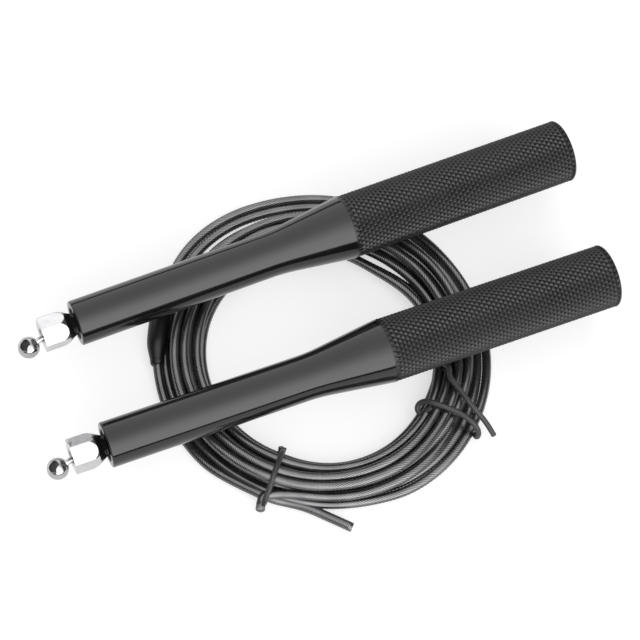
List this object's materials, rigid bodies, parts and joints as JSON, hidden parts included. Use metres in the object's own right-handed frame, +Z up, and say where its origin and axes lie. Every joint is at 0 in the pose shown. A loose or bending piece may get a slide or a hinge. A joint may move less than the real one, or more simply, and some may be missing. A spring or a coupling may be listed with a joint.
{
  "type": "jump rope",
  "caption": "Speed jump rope: turned handles with knurled grips and swivelling ball-link ends, lying on a tied coil of coated steel cable.",
  "frame": {"origin": "on the surface that the rope lies on, at the centre of the coil", "axes": "+X along the handles from their ball ends to their grips, +Z up"},
  "size_m": [0.1892, 0.1085, 0.0288],
  "materials": {
    "cable_coat": "semi-gloss coat over twisted strands",
    "sleeve_rubber": "smooth",
    "tie_coat": "satin",
    "black_anodised": "satin black anodised",
    "plug_plastic": "matte",
    "chrome": "polished",
    "nylon": "natural",
    "cage_steel": "pressed",
    "bearing_steel": "ground"
  },
  "bodies": {
    "rope": {"cable_coil": "cable_coat", "cable_tail": "cable_coat", "cable_sleeve": "sleeve_rubber", "left_tie": "tie_coat", "right_tie": "tie_coat"},
    "left_handle": {"left_handle_body": "black_anodised", "left_end_plug": "plug_plastic", "left_front_outer_ring": "bearing_steel", "left_rear_outer_ring": "bearing_steel", "left_front_shields": "bearing_steel", "left_rear_shields": "bearing_steel"},
    "left_rotor": {"left_front_inner_ring": "bearing_steel", "left_rear_inner_ring": "bearing_steel", "left_spacer_tube": "bearing_steel", "left_axle_washer": "bearing_steel", "left_axle_screw": "bearing_steel", "left_lock_nut": "bearing_steel", "left_collar": "black_anodised", "left_hex_housing": "chrome"},
    "left_cages": {"left_front_balls": "bearing_steel", "left_rear_balls": "bearing_steel", "left_front_cage": "cage_steel", "left_rear_cage": "cage_steel"},
    "left_seat": {"left_ball_seat": "nylon"},
    "left_link": {"left_ball_link": "chrome", "left_clamp_screw": "bearing_steel"},
    "right_handle": {"right_handle_body": "black_anodised", "right_end_plug": "plug_plastic", "right_front_outer_ring": "bearing_steel", "right_rear_outer_ring": "bearing_steel", "right_front_shields": "bearing_steel", "right_rear_shields": "bearing_steel"},
    "right_rotor": {"right_front_inner_ring": "bearing_steel", "right_rear_inner_ring": "bearing_steel", "right_spacer_tube": "bearing_steel", "right_axle_washer": "bearing_steel", "right_axle_screw": "bearing_steel", "right_lock_nut": "bearing_steel", "right_collar": "black_anodised", "right_hex_housing": "chrome"},
    "right_cages": {"right_front_balls": "bearing_steel", "right_rear_balls": "bearing_steel", "right_front_cage": "cage_steel", "right_rear_cage": "cage_steel"},
    "right_seat": {"right_ball_seat": "nylon"},
    "right_link": {"right_ball_link": "chrome", "right_clamp_screw": "bearing_steel"}
  },
  "joints": [
    {"name": "left_handle_lift", "type": "slide", "parent": "rope", "child": "left_handle", "axis": [0, 0, 1], "range_m": [0, 0.08]},
    {"name": "left_spin", "type": "hinge", "parent": "left_handle", "child": "left_rotor", "pos_m": [-0.0692, 0.0309, 0.01881], "axis": [1, 0, 0], "continuous": true},
    {"name": "left_cage_turn", "type": "hinge", "parent": "left_handle", "child": "left_cages", "pos_m": [-0.0692, 0.0309, 0.01881], "axis": [1, 0, 0], "continuous": true},
    {"name": "left_seat_turn", "type": "hinge", "parent": "left_rotor", "child": "left_seat", "pos_m": [-0.0771, 0.0309, 0.01881], "axis": [1, 0, 0], "continuous": true},
    {"name": "left_link_tilt", "type": "hinge", "parent": "left_seat", "child": "left_link", "pos_m": [-0.0771, 0.0309, 0.01881], "axis": [0, 0.9511, -0.309], "range_deg": [0, 50]},
    {"name": "right_handle_lift", "type": "slide", "parent": "rope", "child": "right_handle", "axis": [0, 0, 1], "range_m": [0, 0.08]},
    {"name": "right_spin", "type": "hinge", "parent": "right_handle", "child": "right_rotor", "pos_m": [-0.0749, -0.0086, 0.01881], "axis": [0.9996, -0.0297, 0], "continuous": true},
    {"name": "right_cage_turn", "type": "hinge", "parent": "right_handle", "child": "right_cages", "pos_m": [-0.0749, -0.0086, 0.01881], "axis": [0.9996, -0.0297, 0], "continuous": true},
    {"name": "right_seat_turn", "type": "hinge", "parent": "right_rotor", "child": "right_seat", "pos_m": [-0.0828, -0.00837, 0.01881], "axis": [0.9996, -0.0297, 0], "continuous": true},
    {"name": "right_link_tilt", "type": "hinge", "parent": "right_seat", "child": "right_link", "pos_m": [-0.0828, -0.00837, 0.01881], "axis": [0.0282, 0.9506, -0.309], "range_deg": [0, 50]}
  ],
  "couplings": [
    {"joint": "left_cage_turn", "follows": "left_spin", "ratio": 0.3857},
    {"joint": "right_cage_turn", "follows": "right_spin", "ratio": 0.3857}
  ]
}
